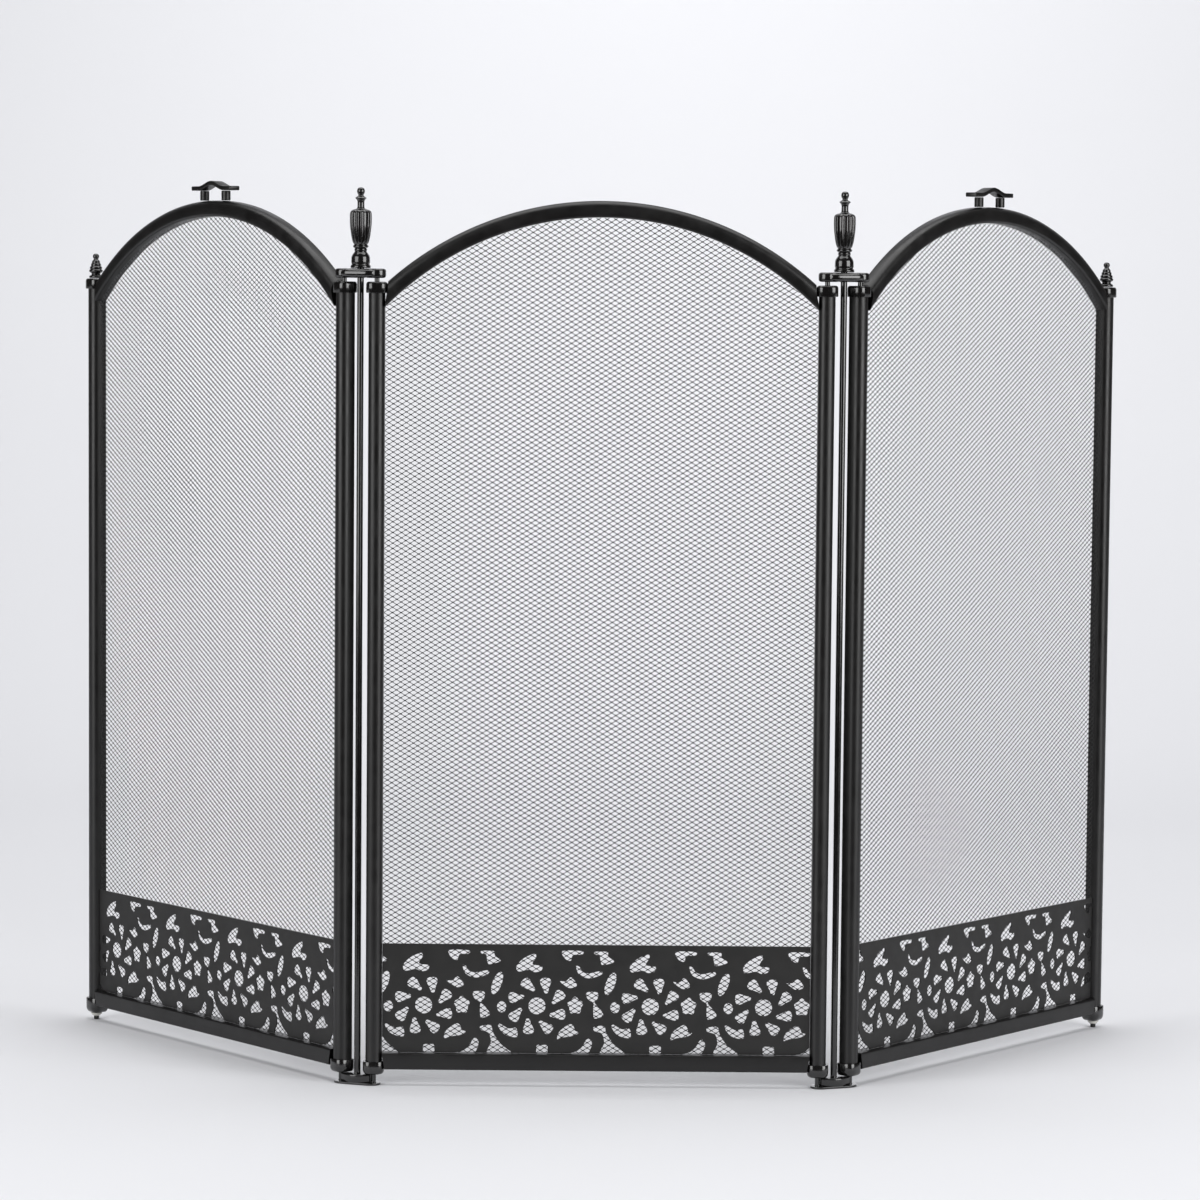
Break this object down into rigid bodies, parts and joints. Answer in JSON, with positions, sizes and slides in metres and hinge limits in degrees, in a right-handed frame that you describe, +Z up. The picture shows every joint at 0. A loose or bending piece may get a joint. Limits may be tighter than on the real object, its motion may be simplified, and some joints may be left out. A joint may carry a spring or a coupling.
{
  "type": "fireplace screen",
  "caption": "Free-standing folding fireplace screen: arched metal frames with mesh and a pierced fret, joined by double hinges with finials on top.",
  "frame": {"origin": "on the floor, in the middle of the footprint of the half-open screen", "axes": "+X to the right along the centre panel, +Y to the back, where the wings fold to, +Z up; the decorated front faces -Y"},
  "size_m": [0.9416, 0.3212, 0.7699],
  "materials": {
    "frame_paint": "satin black powder coat on steel tube",
    "cast_paint": "semi-gloss black paint on castings",
    "fret_paint": "matte black paint on pierced sheet",
    "mesh_paint": "satin black paint on expanded steel mesh",
    "nylon": "off-white nylon collar",
    "rubber": "black rubber",
    "zinc": "zinc-plated steel nut"
  },
  "bodies": {
    "centre_panel": {"centre_arch": "frame_paint", "centre_bottom_rail": "frame_paint", "centre_mesh": "mesh_paint", "centre_fret": "fret_paint", "centre_left_post": "frame_paint", "centre_left_top_cap": "cast_paint", "centre_left_foot_cap": "cast_paint", "centre_right_post": "frame_paint", "centre_right_top_cap": "cast_paint", "centre_right_foot_cap": "cast_paint"},
    "left_link": {"left_hinge_top_link": "cast_paint", "left_hinge_bottom_link": "cast_paint", "left_hinge_tie_rod": "cast_paint", "left_hinge_finial": "cast_paint", "left_hinge_nut": "zinc"},
    "left_wing": {"left_arch": "frame_paint", "left_bottom_rail": "frame_paint", "left_mesh": "mesh_paint", "left_fret": "fret_paint", "left_inner_post": "frame_paint", "left_inner_top_cap": "cast_paint", "left_inner_foot_cap": "cast_paint", "left_outer_post": "frame_paint", "left_outer_top_cap": "cast_paint", "left_outer_foot_cap": "cast_paint", "left_small_finial": "cast_paint", "left_foot_collar": "nylon", "left_foot_tip": "rubber", "left_handle_strip": "cast_paint", "left_handle_pillar_inner": "cast_paint", "left_handle_pillar_outer": "cast_paint"},
    "right_link": {"right_hinge_top_link": "cast_paint", "right_hinge_bottom_link": "cast_paint", "right_hinge_tie_rod": "cast_paint", "right_hinge_finial": "cast_paint", "right_hinge_nut": "zinc"},
    "right_wing": {"right_arch": "frame_paint", "right_bottom_rail": "frame_paint", "right_mesh": "mesh_paint", "right_fret": "fret_paint", "right_inner_post": "frame_paint", "right_inner_top_cap": "cast_paint", "right_inner_foot_cap": "cast_paint", "right_outer_post": "frame_paint", "right_outer_top_cap": "cast_paint", "right_outer_foot_cap": "cast_paint", "right_small_finial": "cast_paint", "right_foot_collar": "nylon", "right_foot_tip": "rubber", "right_handle_strip": "cast_paint", "right_handle_pillar_inner": "cast_paint", "right_handle_pillar_outer": "cast_paint"}
  },
  "joints": [
    {"name": "left_link_pivot", "type": "hinge", "parent": "centre_panel", "child": "left_link", "pos_m": [-0.1895, -0.15231, 0], "axis": [0, 0, -1], "range_deg": [-65, 70]},
    {"name": "left_wing_pivot", "type": "hinge", "parent": "left_link", "child": "left_wing", "pos_m": [-0.21769, -0.14205, 0], "axis": [0, 0, -1], "range_deg": [-75, 60]},
    {"name": "right_link_pivot", "type": "hinge", "parent": "centre_panel", "child": "right_link", "pos_m": [0.1895, -0.15231, 0], "axis": [0, 0, 1], "range_deg": [-110, 25]},
    {"name": "right_wing_pivot", "type": "hinge", "parent": "right_link", "child": "right_wing", "pos_m": [0.21769, -0.14205, 0], "axis": [0, 0, 1], "range_deg": [-120, 15]}
  ]
}
